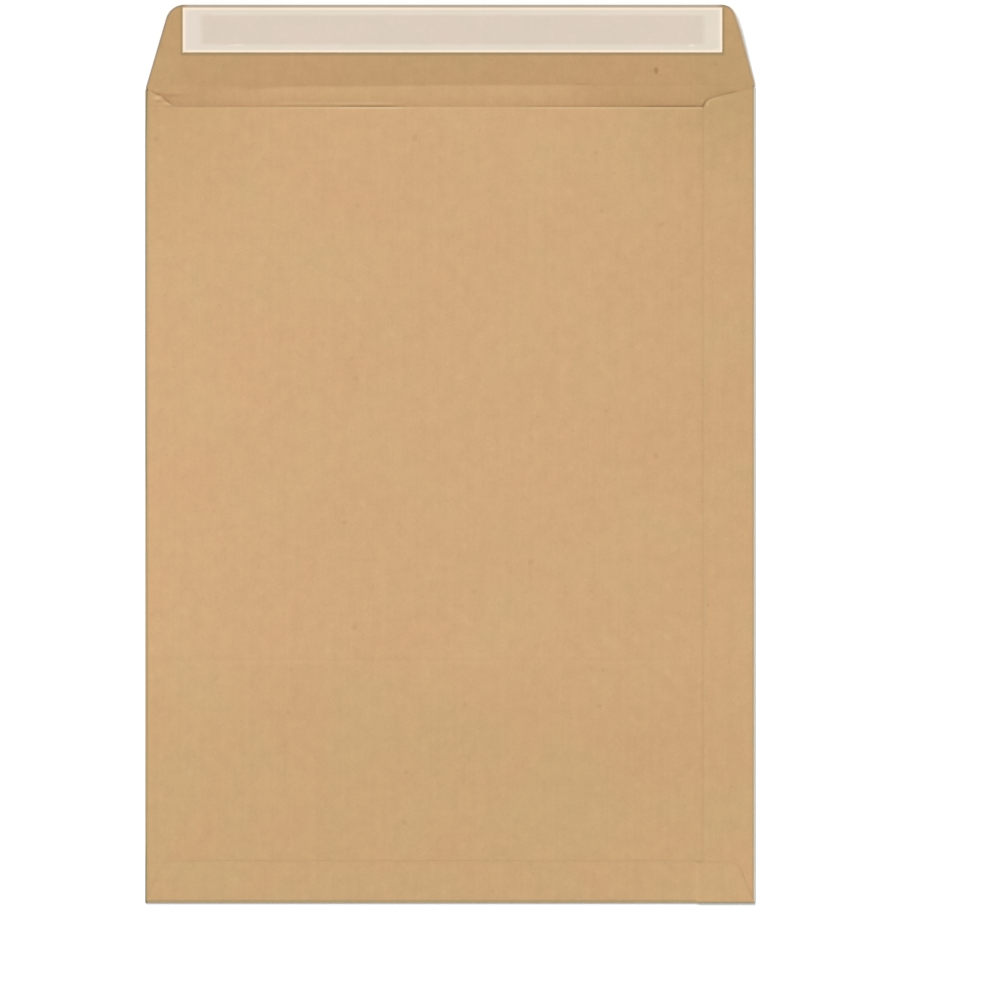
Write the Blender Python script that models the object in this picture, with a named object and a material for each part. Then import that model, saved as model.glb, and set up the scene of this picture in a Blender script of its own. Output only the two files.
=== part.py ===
"""A manila pocket envelope that lies on its address panel, with its seal flap open and its liner on.

The paper is one die-cut blank. It is drawn flat, with u to the right and v towards the seal flap,
as a slab of the paper's thickness, and each of its points is then folded to its place. Glue, seal
adhesive and liner lie on the blank's inner face and are folded by the same rule.

Lengths are in metres. Folded, +X is to the right, +Y is towards the seal flap and +Z is up. The
origin is the middle of the address panel's outer face.
"""

import math

import bmesh
import bpy
from mathutils import Vector

# Pocket, folded and seen from the back
WIDTH = 0.304
HEIGHT = 0.407
THROAT_DEPTH = 0.0102
BOW_HEIGHT = 0.0075
BOW_FULLNESS = 3

# Paper, films and the air between them
PAPER = 0.00015
GLUE_FILM = 0.00005
ADHESIVE_FILM = 0.00006
LINER_PAPER = 0.00008
FILM_CLEARANCE = 0.0001
FOLD_AIR = 0.0004

# Seal flap. Its left end is one slant. Its right end steps out to the pocket's full width just
# above the crease, then slants in, and more steeply above a knee.
FLAP_DEPTH = 0.041
FLAP_INSET_LEFT = 0.0121
FLAP_INSET_RIGHT = 0.0113
FLAP_CORNER_LEFT = 0.0095
FLAP_CORNER_RIGHT = 0.0075
FLAP_STEP_RISE = 0.0001
FLAP_STEP_TOP = 0.002
FLAP_KNEE_INSET = 0.0071
FLAP_KNEE_RISE = 0.0284
FLAP_LIFT = math.radians(4)

# Left shoulder of the wide back panel, from the left edge and below the flap's crease
LEFT_NOTCH = 0.0014
SHOULDER_OUT = 0.0076
SHOULDER_DROP = 0.0039
SHOULDER_CORNER = 0.0022
SHOULDER_FOOT = 0.0135
SHOULDER_FILLET = 0.008

# Side flap, glued over the wide back panel's far edge
SIDE_DEPTH = 0.026
SIDE_SLOPE = math.radians(14)
SIDE_NOTCH = 0.0001
SIDE_CORNER = 0.0055
BACK_EDGE_MARGIN = 0.0025

# Bottom flap, glued over both. Its ends are square round the bend and slant from there.
BOTTOM_DEPTH = 0.0212
BOTTOM_SQUARE = 0.0012
BOTTOM_TAPER = math.radians(22)
BOTTOM_CORNER = 0.006
BOTTOM_STEP_RUN = 0.002
CORNER_NOTCH = 0.0002
END_CLEARANCE = 0.0002
HIDDEN_CORNER = 0.002

# Glue lines, from the edges of the flap that they are on
SIDE_GLUE_WIDTH = 0.016
SIDE_GLUE_MARGIN = 0.003
SIDE_GLUE_END = 0.003
BOTTOM_GLUE_WIDTH = 0.014
BOTTOM_GLUE_MARGIN = 0.003
BOTTOM_GLUE_END = 0.012

# Seal: the liner from the ends of the crease and the tip of the flap, the adhesive inside the liner
LINER_WIDTH = 0.0225
LINER_MARGIN_LEFT = 0.0183
LINER_MARGIN_RIGHT = 0.0158
LINER_MARGIN_TIP = 0.00135
ADHESIVE_END = 0.0092
ADHESIVE_SIDE = 0.0037
ADHESIVE_WIDTH = 0.0145

# Fineness
PANEL_COLUMNS = 20
PANEL_ROWS = 20
TURN_STEPS = 6
ARC_STEP = math.radians(12)
SNAP = 0.000001
SMOOTH_BELOW = math.radians(25)

# Heights of the folded layers' middles above the table
SEAM = GLUE_FILM + 2 * FILM_CLEARANCE
FRONT_LEVEL = PAPER / 2
BACK_LEVEL = FRONT_LEVEL + PAPER + FOLD_AIR
SIDE_LEVEL = BACK_LEVEL + PAPER + SEAM
BOTTOM_LEVEL_LOW = BACK_LEVEL + PAPER + SEAM
BOTTOM_LEVEL_HIGH = SIDE_LEVEL + PAPER + SEAM

# Bend radii of the paper's middle, and where the flat address panel ends and each bend starts
LEFT_RADIUS = (BACK_LEVEL - FRONT_LEVEL) / 2
RIGHT_RADIUS = (SIDE_LEVEL - FRONT_LEVEL) / 2
BOTTOM_RADIUS_LOW = (BOTTOM_LEVEL_LOW - FRONT_LEVEL) / 2
BOTTOM_RADIUS_HIGH = (BOTTOM_LEVEL_HIGH - FRONT_LEVEL) / 2
LEFT_BEND = -WIDTH / 2 + LEFT_RADIUS + PAPER / 2
RIGHT_BEND = WIDTH / 2 - RIGHT_RADIUS - PAPER / 2
BOTTOM_BEND = -HEIGHT / 2 + BOTTOM_RADIUS_HIGH + PAPER / 2
CREASE = HEIGHT / 2
THROAT = CREASE - THROAT_DEPTH

# Edges of the flaps and of the glue lines, folded
SIDE_EDGE = WIDTH / 2 - SIDE_DEPTH
SIDE_GLUE_NEAR = SIDE_EDGE + SIDE_GLUE_MARGIN
SIDE_GLUE_FAR = SIDE_GLUE_NEAR + SIDE_GLUE_WIDTH
BOTTOM_EDGE = -HEIGHT / 2 + BOTTOM_DEPTH
BOTTOM_GLUE_NEAR = BOTTOM_EDGE - BOTTOM_GLUE_MARGIN
BOTTOM_GLUE_FAR = BOTTOM_GLUE_NEAR - BOTTOM_GLUE_WIDTH
PANEL_FOOT = BOTTOM_BEND + END_CLEARANCE


def clear_scene():
    for obj in list(bpy.data.objects):
        bpy.data.objects.remove(obj)


def linear(channel):
    """One sRGB channel, 0 to 1, as linear light."""
    return channel / 12.92 if channel <= 0.04045 else ((channel + 0.055) / 1.055) ** 2.4


def material(name, hex_colour, roughness):
    """A plain Principled material of an sRGB colour such as c29c70."""
    channels = [int(hex_colour[i : i + 2], 16) / 255 for i in (0, 2, 4)]
    colour = (*map(linear, channels), 1)
    made = bpy.data.materials.new(name)
    made.use_nodes = True
    made.diffuse_color = colour
    shader = made.node_tree.nodes["Principled BSDF"]
    shader.inputs["Base Color"].default_value = colour
    shader.inputs["Roughness"].default_value = roughness
    shader.inputs["Metallic"].default_value = 0
    return made


def between(first, last, steps):
    """The places from first to last, both counted, in even steps."""
    return [first + (last - first) * i / steps for i in range(steps + 1)]


def back_u(x):
    """Where on the blank the wide back panel comes to lie over x."""
    return LEFT_BEND - math.pi * LEFT_RADIUS - (x - LEFT_BEND)


def side_u(x):
    """Where on the blank the side flap comes to lie over x."""
    return RIGHT_BEND + math.pi * RIGHT_RADIUS + (RIGHT_BEND - x)


def bottom_v(y):
    """Where on the blank the bottom flap comes to lie over y."""
    return BOTTOM_BEND - math.pi * BOTTOM_RADIUS_LOW - (y - BOTTOM_BEND)


def rounded(corners):
    """The outline through corners (u, v, radius), anticlockwise, each rounded to its radius."""
    outline = []
    for i, (u, v, radius) in enumerate(corners):
        at = Vector((u, v))
        if not radius:
            outline.append(at)
            continue
        before = (Vector(corners[i - 1][:2]) - at).normalized()
        after = (Vector(corners[(i + 1) % len(corners)][:2]) - at).normalized()
        half = before.angle(after) / 2
        centre = at + (before + after).normalized() * (radius / math.sin(half))
        first = at + before * (radius / math.tan(half)) - centre
        turn = (math.pi - 2 * half) * (1 if before.cross(after) < 0 else -1)
        steps = max(2, math.ceil(abs(turn) / ARC_STEP))
        for angle in between(0, turn, steps):
            spoke = Vector(
                (
                    first.x * math.cos(angle) - first.y * math.sin(angle),
                    first.x * math.sin(angle) + first.y * math.cos(angle),
                )
            )
            outline.append(centre + spoke)
    return outline


def bow(x, y):
    """How far the back of the opened pocket stands up from its flat place. It is highest at the
    throat, and the fuller it is, the closer to its folds it stays high."""
    across = abs(x - (LEFT_BEND + RIGHT_BEND) / 2) / ((RIGHT_BEND - LEFT_BEND) / 2)
    along = max(0, (THROAT - y) / (THROAT - PANEL_FOOT))
    return BOW_HEIGHT * max(0, 1 - across**BOW_FULLNESS) * max(0, 1 - along**BOW_FULLNESS)


def half_turn(run, radius, w):
    """Past the start of a bend up and back over the panel: (how far out, how high) for a point a
    run along the paper and w above its middle on the inner face."""
    turned = min(run / radius, math.pi)
    back = max(0, run - math.pi * radius)
    out = (radius - w) * math.sin(turned) - back
    return out, radius - (radius - w) * math.cos(turned)


def bottom_radius(x):
    """The bottom fold opens a little where the side flap lies inside it."""
    step = (x - (SIDE_EDGE - 2 * BOTTOM_STEP_RUN)) / BOTTOM_STEP_RUN
    share = min(1, max(0, step))
    return BOTTOM_RADIUS_LOW + share * (BOTTOM_RADIUS_HIGH - BOTTOM_RADIUS_LOW)


def folded(point):
    """Where a point of the flat blank, w above the paper's middle, lies on the folded envelope."""
    u, v, w = point
    if v > CREASE + SNAP:
        run = v - CREASE
        y = CREASE + run * math.cos(FLAP_LIFT) - w * math.sin(FLAP_LIFT)
        return u, y, FRONT_LEVEL + run * math.sin(FLAP_LIFT) + w * math.cos(FLAP_LIFT)
    if v < BOTTOM_BEND:
        out, up = half_turn(BOTTOM_BEND - v, bottom_radius(u), w)
        y = BOTTOM_BEND - out
        return u, y, FRONT_LEVEL + up + bow(u, y)
    if u < LEFT_BEND:
        out, up = half_turn(LEFT_BEND - u, LEFT_RADIUS, w)
        x = LEFT_BEND - out
        return x, v, FRONT_LEVEL + up + bow(x, v)
    if u > RIGHT_BEND:
        out, up = half_turn(u - RIGHT_BEND, RIGHT_RADIUS, w)
        x = RIGHT_BEND + out
        return x, v, FRONT_LEVEL + up + bow(x, v)
    return u, v, FRONT_LEVEL + w


def cut_lines():
    """The lines (place, normal) that split the blank finely enough to fold: a grid that is the same
    on every layer once it is folded, and the steps of each bend."""
    columns = between(LEFT_BEND, RIGHT_BEND, PANEL_COLUMNS)
    columns += [SIDE_EDGE - 2 * BOTTOM_STEP_RUN, SIDE_EDGE - BOTTOM_STEP_RUN]
    columns += [SIDE_EDGE, SIDE_GLUE_NEAR, SIDE_GLUE_FAR]
    rows = between(PANEL_FOOT, THROAT, PANEL_ROWS)
    rows += [BOTTOM_EDGE, BOTTOM_GLUE_NEAR, BOTTOM_GLUE_FAR]
    turns = between(0, math.pi, TURN_STEPS)[1:-1]

    across = columns + [back_u(x) for x in columns] + [side_u(x) for x in columns if x > SIDE_EDGE]
    across += [LEFT_BEND - LEFT_RADIUS * turn for turn in turns]
    across += [RIGHT_BEND + RIGHT_RADIUS * turn for turn in turns]

    along = rows + [bottom_v(y) for y in rows if y < BOTTOM_EDGE] + [CREASE, BOTTOM_BEND]
    along += [BOTTOM_BEND - BOTTOM_RADIUS_LOW * turn for turn in turns]
    along += [BOTTOM_BEND - math.pi * radius for radius in (BOTTOM_RADIUS_LOW, BOTTOM_RADIUS_HIGH)]

    return [((u, 0, 0), (1, 0, 0)) for u in across] + [((0, v, 0), (0, 1, 0)) for v in along]


def folded_slab(name, outline, thickness, middle, finish):
    """A flat slab of the outline, its middle this far above the paper's, cut, folded and finished."""
    bm = bmesh.new()
    lower = middle - thickness / 2
    face = bm.faces.new([bm.verts.new((point.x, point.y, lower)) for point in outline])
    grown = bmesh.ops.extrude_face_region(bm, geom=[face])["geom"]
    raised = [item for item in grown if isinstance(item, bmesh.types.BMVert)]
    bmesh.ops.translate(bm, verts=raised, vec=(0, 0, thickness))
    bmesh.ops.recalc_face_normals(bm, faces=bm.faces)
    for place, normal in cut_lines():
        everything = bm.verts[:] + bm.edges[:] + bm.faces[:]
        bmesh.ops.bisect_plane(bm, geom=everything, dist=SNAP, plane_co=place, plane_no=normal)
    for vert in bm.verts:
        vert.co = folded(vert.co)
    bmesh.ops.triangulate(bm, faces=bm.faces, quad_method="SHORT_EDGE")
    mesh = bpy.data.meshes.new(name)
    bm.to_mesh(mesh)
    bm.free()
    mesh.shade_smooth()
    mesh.set_sharp_from_angle(angle=SMOOTH_BELOW)
    mesh.materials.append(finish)
    obj = bpy.data.objects.new(name, mesh)
    bpy.context.collection.objects.link(obj)
    return obj


def rectangle(left, right, low, high):
    return [Vector(corner) for corner in ((left, low), (right, low), (right, high), (left, high))]


def blank_outline():
    """The die-cut outline, anticlockwise from the right end of the seal flap's crease."""
    flap_tip = CREASE + FLAP_DEPTH
    bottom_tip = bottom_v(BOTTOM_EDGE)
    bottom_square = BOTTOM_BEND - BOTTOM_SQUARE
    bottom_inset = (BOTTOM_DEPTH - BOTTOM_SQUARE) * math.tan(BOTTOM_TAPER)
    side_top = CREASE - SIDE_NOTCH - SIDE_DEPTH * math.tan(SIDE_SLOPE)
    back_edge = back_u(WIDTH / 2 - BACK_EDGE_MARGIN)
    side_edge = side_u(SIDE_EDGE)
    seal_flap = [
        (RIGHT_BEND, CREASE, 0),
        (WIDTH / 2, CREASE + FLAP_STEP_RISE, 0),
        (WIDTH / 2, CREASE + FLAP_STEP_TOP, 0),
        (WIDTH / 2 - FLAP_KNEE_INSET, CREASE + FLAP_KNEE_RISE, 0),
        (WIDTH / 2 - FLAP_INSET_RIGHT, flap_tip, FLAP_CORNER_RIGHT),
        (LEFT_BEND + FLAP_INSET_LEFT, flap_tip, FLAP_CORNER_LEFT),
        (LEFT_BEND, CREASE, 0),
    ]
    back_panel = [
        (LEFT_BEND, CREASE - LEFT_NOTCH, 0),
        (back_u(-WIDTH / 2 + SHOULDER_OUT), CREASE - SHOULDER_DROP, SHOULDER_CORNER),
        (back_u(-WIDTH / 2 + SHOULDER_FOOT), THROAT, SHOULDER_FILLET),
        (back_edge, THROAT, HIDDEN_CORNER),
        (back_edge, PANEL_FOOT, HIDDEN_CORNER),
        (LEFT_BEND, PANEL_FOOT, 0),
    ]
    bottom_flap = [
        (LEFT_BEND, BOTTOM_BEND, 0),
        (LEFT_BEND + CORNER_NOTCH, BOTTOM_BEND, 0),
        (LEFT_BEND + CORNER_NOTCH, bottom_square, 0),
        (LEFT_BEND + CORNER_NOTCH + bottom_inset, bottom_tip, BOTTOM_CORNER),
        (RIGHT_BEND - CORNER_NOTCH - bottom_inset, bottom_tip, BOTTOM_CORNER),
        (RIGHT_BEND - CORNER_NOTCH, bottom_square, 0),
        (RIGHT_BEND - CORNER_NOTCH, BOTTOM_BEND, 0),
        (RIGHT_BEND, BOTTOM_BEND, 0),
    ]
    side_flap = [
        (RIGHT_BEND, PANEL_FOOT, 0),
        (side_edge, PANEL_FOOT, HIDDEN_CORNER),
        (side_edge, side_top, SIDE_CORNER),
        (RIGHT_BEND, CREASE - SIDE_NOTCH, 0),
    ]
    return rounded(seal_flap + back_panel + bottom_flap + side_flap)


def envelope():
    manila = material("manila_paper", "cfa97a", 0.85)
    folded_slab("envelope", blank_outline(), PAPER, 0, manila)


def glue_lines():
    """A dried film along the side flap, and one along the bottom flap, each on the inner face."""
    glue = material("dried_glue", "e0d2b4", 0.45)
    middle = PAPER / 2 + FILM_CLEARANCE + GLUE_FILM / 2
    side = rectangle(
        side_u(SIDE_GLUE_FAR),
        side_u(SIDE_GLUE_NEAR),
        PANEL_FOOT + SIDE_GLUE_END,
        THROAT - SIDE_GLUE_END,
    )
    folded_slab("side_seam_glue", side, GLUE_FILM, middle, glue)
    bottom = rectangle(
        LEFT_BEND + BOTTOM_GLUE_END,
        RIGHT_BEND - BOTTOM_GLUE_END,
        bottom_v(BOTTOM_GLUE_NEAR),
        bottom_v(BOTTOM_GLUE_FAR),
    )
    folded_slab("bottom_flap_glue", bottom, GLUE_FILM, middle, glue)


def seal():
    """The strip of seal adhesive on the flap, and the wider liner over it."""
    adhesive = material("seal_adhesive", "dccfba", 0.3)
    siliconised = material("liner_paper", "e0d3c2", 0.5)
    liner_top = CREASE + FLAP_DEPTH - LINER_MARGIN_TIP
    liner_left = LEFT_BEND + LINER_MARGIN_LEFT
    liner_right = RIGHT_BEND - LINER_MARGIN_RIGHT
    strip = rectangle(
        liner_left + ADHESIVE_END,
        liner_right - ADHESIVE_END,
        liner_top - ADHESIVE_SIDE - ADHESIVE_WIDTH,
        liner_top - ADHESIVE_SIDE,
    )
    on_paper = PAPER / 2 + FILM_CLEARANCE
    folded_slab("seal_adhesive", strip, ADHESIVE_FILM, on_paper + ADHESIVE_FILM / 2, adhesive)
    liner = rectangle(liner_left, liner_right, liner_top - LINER_WIDTH, liner_top)
    on_adhesive = on_paper + ADHESIVE_FILM + FILM_CLEARANCE
    folded_slab("release_liner", liner, LINER_PAPER, on_adhesive + LINER_PAPER / 2, siliconised)


def main():
    clear_scene()
    envelope()
    glue_lines()
    seal()


main()
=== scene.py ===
import math
from functools import partial

import bpy
import numpy as np
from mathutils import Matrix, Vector


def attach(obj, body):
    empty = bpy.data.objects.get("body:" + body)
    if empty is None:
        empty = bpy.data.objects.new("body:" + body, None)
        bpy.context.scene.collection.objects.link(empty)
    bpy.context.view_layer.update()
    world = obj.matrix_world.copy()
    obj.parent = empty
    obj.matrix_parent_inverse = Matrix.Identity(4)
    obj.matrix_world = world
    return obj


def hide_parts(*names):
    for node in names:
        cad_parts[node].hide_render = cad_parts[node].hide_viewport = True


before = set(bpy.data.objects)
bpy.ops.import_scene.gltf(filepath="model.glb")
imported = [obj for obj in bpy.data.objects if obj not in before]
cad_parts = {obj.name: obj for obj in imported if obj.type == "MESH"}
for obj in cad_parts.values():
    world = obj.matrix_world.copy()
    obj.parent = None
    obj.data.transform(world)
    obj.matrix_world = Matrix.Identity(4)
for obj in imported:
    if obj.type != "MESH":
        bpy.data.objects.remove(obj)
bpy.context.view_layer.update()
print("frame loaded:", ", ".join(sorted(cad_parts)))

# Lengths are in metres, unless a note says millimetres. The sheet is drawn flat, u to the right
# and v towards the seal flap, and each point is then folded to its place. The origin is the
# middle of the address face.
sheet = {
    "width": 0.304,
    "height": 0.407,
    "paper": 0.00015,
    "throatDepth": 0.0102,
    "gape": 0.0075,  # how far the empty pocket stands open at the throat
    "gapeFullness": 3,
    "foldAir": 0.0004,
    "seam": 0.00025,  # glue film and air between glued layers
    "flapDepth": 0.041,
    "flapInsetLeft": 0.0121,
    "flapInsetRight": 0.0113,
    "flapCornerLeft": 0.0095,
    "flapCornerRight": 0.0075,
    "flapStepRise": 0.0001,
    "flapStepTop": 0.002,
    "flapKneeInset": 0.0071,
    "flapKneeRise": 0.0284,
    "flapLift": math.radians(4),
    "leftNotch": 0.0014,
    "shoulderOut": 0.0076,
    "shoulderDrop": 0.0039,
    "shoulderCorner": 0.0022,
    "shoulderFoot": 0.0135,
    "shoulderFillet": 0.008,
    "sideDepth": 0.026,
    "sideSlope": math.radians(14),
    "sideNotch": 0.0001,
    "sideCorner": 0.0055,
    "backEdgeMargin": 0.0025,
    "bottomDepth": 0.0212,
    "bottomSquare": 0.0012,
    "bottomTaper": math.radians(22),
    "bottomCorner": 0.006,
    "bottomStep": 0.002,
    "cornerNotch": 0.0002,
    "cornerEar": 0.0003,  # the bottom flap comes out to the sides' folds round its own bend
    "endClearance": 0.0002,
    "hiddenCorner": 0.002,
}

paper = sheet["paper"]
halfWidth = sheet["width"] / 2
frontLevel = paper / 2
backLevel = frontLevel + paper + sheet["foldAir"]
sideLevel = backLevel + paper + sheet["seam"]
bottomHighLevel = sideLevel + paper + sheet["seam"]
leftRadius = (backLevel - frontLevel) / 2
rightRadius = (sideLevel - frontLevel) / 2
bottomLowRadius = (sideLevel - frontLevel) / 2
bottomHighRadius = (bottomHighLevel - frontLevel) / 2
leftBend = -halfWidth + leftRadius + paper / 2
rightBend = halfWidth - rightRadius - paper / 2
bottomBend = -sheet["height"] / 2 + bottomHighRadius + paper / 2
crease = sheet["height"] / 2
throat = crease - sheet["throatDepth"]
leftTop, rightTop = crease - sheet["leftNotch"], crease - sheet["sideNotch"]
flapTip = crease + sheet["flapDepth"]
sideEdge = halfWidth - sheet["sideDepth"]
bottomEdge = -sheet["height"] / 2 + sheet["bottomDepth"]
panelFoot = bottomBend + sheet["endClearance"]


def backU(x):  # where on the flat sheet the back panel comes to lie over x
    return leftBend - math.pi * leftRadius - (x - leftBend)


def sideU(x):
    return rightBend + math.pi * rightRadius + (rightBend - x)


def bottomV(y):
    return bottomBend - math.pi * bottomLowRadius - (y - bottomBend)


# Marks of making and handling: small heights, and how far each of them reaches
marks = {
    "backRipple": 0.00045,  # how much the back panel dips between its high places
    "backRippleRoom": 3,  # full where the pocket stands open by a third of its gape
    "flapRipple": 0.0005,
    "flapRippleRise": 1.5,
    "scoreDepth": 0.00003,  # the valley of the scored crease, just beyond it
    "scoreOffset": 0.0005,
    "scoreReach": 0.0008,
    "scoreRise": 0.011,  # how far from the crease the paper starts to rise
    "creaseSoftness": 0.0018,
    "lipDrop": 0.00004,  # the throat's cut edge turns down a little
    "lipRun": 0.0013,
    "packLine": -0.0826,  # a faint line pressed across the back panel
    "packLineHeight": 0.00006,
    "packLineReach": 0.0011,
    "wrinkleHeight": 0.00011,  # a slanting wrinkle below the left end of the crease
    "wrinkleU": -0.1375,
    "wrinkleV": 0.200225,
    "wrinkleSlope": 0.05,
    "wrinkleHalfLength": 0.005,
    "wrinkleHalfWidth": 0.0008,
}
# Waves of the back panel and of the seal flap: length, angle, phase and share
backWaves = ((0.118, 0.35, 0.4, 1.0), (0.083, 1.25, 2.1, 0.8), (0.061, 2.2, 4.0, 0.6))
flapWaves = ((0.21, 0.0, 0.9, 1.0), (0.097, 0.25, 2.6, 0.6))
# The left shoulder is pinched where the fold meets the crease: x, y, reaches and height
pinches = (
    (-0.1456, 0.1972, 0.0018, 0.0011, 0.00036),
    (-0.1407, 0.1944, 0.0022, 0.0010, 0.0003),
    (-0.1431, 0.1974, 0.0010, 0.0014, -0.00016),
)

# Fine lines where the paper has given and along its edges, in millimetres: half width, then (x, y,
# strength). The dark lines are painted shade and the pale ones are painted highlights.
strokeReach = 1.5  # half widths to where a line has faded out
shadeLines = (
    (0.42, ((-148.4, 200.9, 0.2), (-147.0, 200.1, 0.4), (-145.4, 199.6, 0.8), (-144.4, 199.3, 0.35))),
    (0.42, ((-143.6, 198.5, 0.1), (-142.2, 197.3, 0.4), (-140.6, 196.2, 0.5), (-139.6, 196.2, 0.15))),
    (0.8, ((-143.0, 199.2, 0.14), (-139.5, 199.1, 0.17), (-134.0, 199.2, 0.12), (-131.0, 199.3, 0.0))),
    (0.5, ((126.0, 193.0, 0.3), (126.1, 194.2, 0.8), (127.1, 196.1, 0.6), (128.6, 197.3, 0.4))),
    (0.45, ((128.6, 197.3, 0.4), (130.4, 198.1, 0.2), (134.5, 199.2, 0.15), (138.0, 200.2, 0.35))),
    (0.45, ((138.0, 200.2, 0.35), (140.8, 200.9, 0.45), (143.4, 201.5, 0.05))),
    (0.35, ((61.5, 204.9, 0.05), (65.0, 204.9, 0.3), (70.2, 205.1, 0.05))),
)
highlightLines = (
    (0.7, ((-147.3, 202.0, 0.1), (-146.2, 201.9, 0.22), (-145.2, 201.7, 0.1))),
    (0.8, ((-147.0, 198.1, 0.12), (-145.4, 197.8, 0.22), (-144.2, 197.4, 0.12))),
    (0.6, ((-140.6, 194.9, 0.08), (-139.4, 194.6, 0.16), (-138.4, 194.4, 0.05))),
    (0.4, ((127.2, 194.8, 0.0), (128.4, 195.9, 0.3), (130.0, 196.9, 0.25), (136.0, 198.5, 0.05))),
    (0.6, ((127.9, 195.6, 0.12), (128.2, 194.8, 0.22), (128.0, 193.8, 0.12))),
    (0.5, ((124.9, 196.6, 0.1), (126.0, 196.5, 0.25), (126.2, 196.8, 0.1))),
    (0.45, ((-139.0, 194.0, 0.0), (-137.0, 194.0, 0.18), (-133.5, 194.0, 0.17), (-131.0, 194.0, 0.1))),
    (0.45, ((-131.0, 194.0, 0.1), (-116.0, 194.0, 0.1), (-108.0, 194.0, 0.0))),
    (0.5, ((-90.0, 195.4, 0.0), (-80.0, 195.4, 0.22), (-60.0, 195.4, 0.16))),
    (0.5, ((-60.0, 195.4, 0.16), (-35.0, 195.4, 0.28), (-24.0, 195.4, 0.0))),
)
foldEndShade = (  # painted shade, grey, at the ends of the left fold by the notch and the bottom corner
    (0.6, ((-151.2, 203.0, 0.9), (-151.1, 202.2, 1.1), (-151.0, 201.2, 0.88), (-151.0, 199.8, 0.92))),
    (0.5, ((-151.0, 199.8, 0.92), (-151.0, 197.5, 0.86), (-151.1, 192.0, 0.78))),
    (0.5, ((-151.6, -200.6, 0.7), (-151.6, -202.7, 1.1), (-150.6, -202.7, 0.75), (-149.6, -202.7, 0.6))),
)
# The throat's painted shadow above its edge and the painted highlight on its turned edge, in millimetres:
# how far from the edge the line runs, its half width, where it fades out, and its strength along x
throatShadow = {
    "offset": 0.6,
    "half": 0.5,
    "reach": 1.3,
    "along": (
        (-134.2, 0.06), (-105.0, 0.1), (-87.0, 0.12), (-78.0, 0.26), (-57.0, 0.3), (-52.0, 0.55),
        (-39.0, 0.66), (-29.0, 0.52), (-24.0, 0.12), (-15.0, 0.0), (34.0, 0.0), (40.0, 0.2),
        (55.0, 0.26), (94.0, 0.26), (100.0, 0.6), (120.0, 0.62), (123.0, 0.48), (124.6, 0.45),
        (126.0, 0.75), (127.0, 0.0),
    ),
}
throatLip = {
    "offset": -0.5,
    "half": 0.5,
    "reach": 1.4,
    "along": (
        (-134.2, 0.03), (-90.0, 0.05), (-80.0, 0.16), (-57.0, 0.2), (-50.0, 0.38), (-29.0, 0.38),
        (-22.0, 0.12), (-15.0, 0.04), (34.0, 0.04), (44.0, 0.2), (90.0, 0.2), (104.0, 0.25),
        (126.0, 0.2), (127.0, 0.0),
    ),
}
# Darker patches near the top corners and the lower left, and warmer patches: (x, y, reach in x, reach in y,
# amount), in millimetres
toneShiftPlaces = (
    (-150.0, 196.0, 50.0, 60.0, 0.85),
    (150.0, 198.0, 52.0, 36.0, 0.95),
    (-152.0, -190.0, 60.0, 70.0, 0.15),
)
warmPlaces = (
    (-147.0, 196.0, 8.0, 8.0, 1.0),
    (-141.0, 187.0, 10.0, 5.0, 0.5),
    (-147.0, -80.0, 7.0, 90.0, 0.4),
)
# Below the pressed line the back is darker: how soon, in millimetres, and by how much
footShades = ((0.8, 0.1), (40, 0.3))

# Wear along the cut edges and folds
wear = {
    "cutReach": 0.0014,  # in from a cut edge
    "coreReach": 1.18,  # a fold's wear is full along its middle and gone this many reaches away
    "outerReach": 0.0006,
    "rightInset": 0.0012,
    "rightReach": 0.0007,
    "rightMost": 0.8,
    "bottomInset": 0.0012,
    "bottomReach": 0.0008,
    "bottomMost": 0.85,
    "rubbedRight": (0.15125, 0.0003),  # colour lost along the folds' outermost line
    "rubbedLow": (-0.203, -0.0003),
    "rubbedLowMost": 0.5,
    "endFrom": (0.139, 0.002),  # the seal flap's right end is bare at its rim
    "endRise": 0.001,
    "endInset": 0.0009,
    "endLoss": 0.62,
    "bareReach": 0.0005,
    "bareCore": 1.3,  # reaches from the rim to where it is no longer bare
    "bareMost": 0.8,
    "dustEnds": 0.003,  # dust on the adhesive greys the flap's rim beyond the strip
    "dustSoft": 0.0003,
}
# How far in from the left fold its wear is strongest, and how far it reaches, along v
leftFoldWear = (
    (-0.197, 0.0, 0.0019), (-0.175, 0.0006, 0.001), (-0.1, 0.0008, 0.0009), (0.0, 0.0006, 0.0011),
    (0.05, 0.0, 0.0019), (0.18, 0.0, 0.0019), (0.188, 0.0005, 0.0016), (0.204, 0.0006, 0.0016),
)
# Tones of the inner face, mostly as the start and run of a ramp
tones = {
    "untintedLeft": (-0.126, 0.034),
    "untintedRight": (0.08, -0.03),
    "untintedEdge": ((-0.1, -0.075, -0.03, 0.0), (-0.0014, 0.0, 0.0003, 0.001)),  # beyond the crease, by x
    "untintedSoft": 0.0014,
    "paleLeft": (-0.13, -0.012),
    "paleLeftMost": 0.4,
    "paleRight": (0.14, 0.006),
    "paleRightMost": 0.15,
    "oliveLeft": (-0.128, -0.012),
    "oliveRight": (0.105, 0.025),
    "oliveTop": (0.236, -0.02),
    "oliveTopLeast": 0.4,
    "endsFoot": (0.2005, 0.002),
    "endsTop": (0.226, -0.01),
}


def ramp(value, start, run):  # 0 at the start and 1 a run further on, or back if run is negative
    return np.clip((value - start) / run, 0, 1)


def softStep(value, edge, soft):  # 0 before the edge and 1 after it, or the reverse
    return np.clip((value - edge) / soft + 0.5, 0, 1)


def ridge(distance, half, reach):  # 1 along a line, and 0 from this many halves away
    return np.clip(reach - np.abs(distance) / half, 0, 1)


def bump(distance, reach):
    return np.exp(-((distance / reach) ** 2))


def bumpsAt(places, x, y):
    total = np.zeros(x.shape)
    for atX, atY, reachX, reachY, most in places:
        total += most * bump(x - atX, reachX) * bump(y - atY, reachY)
    return total


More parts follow.
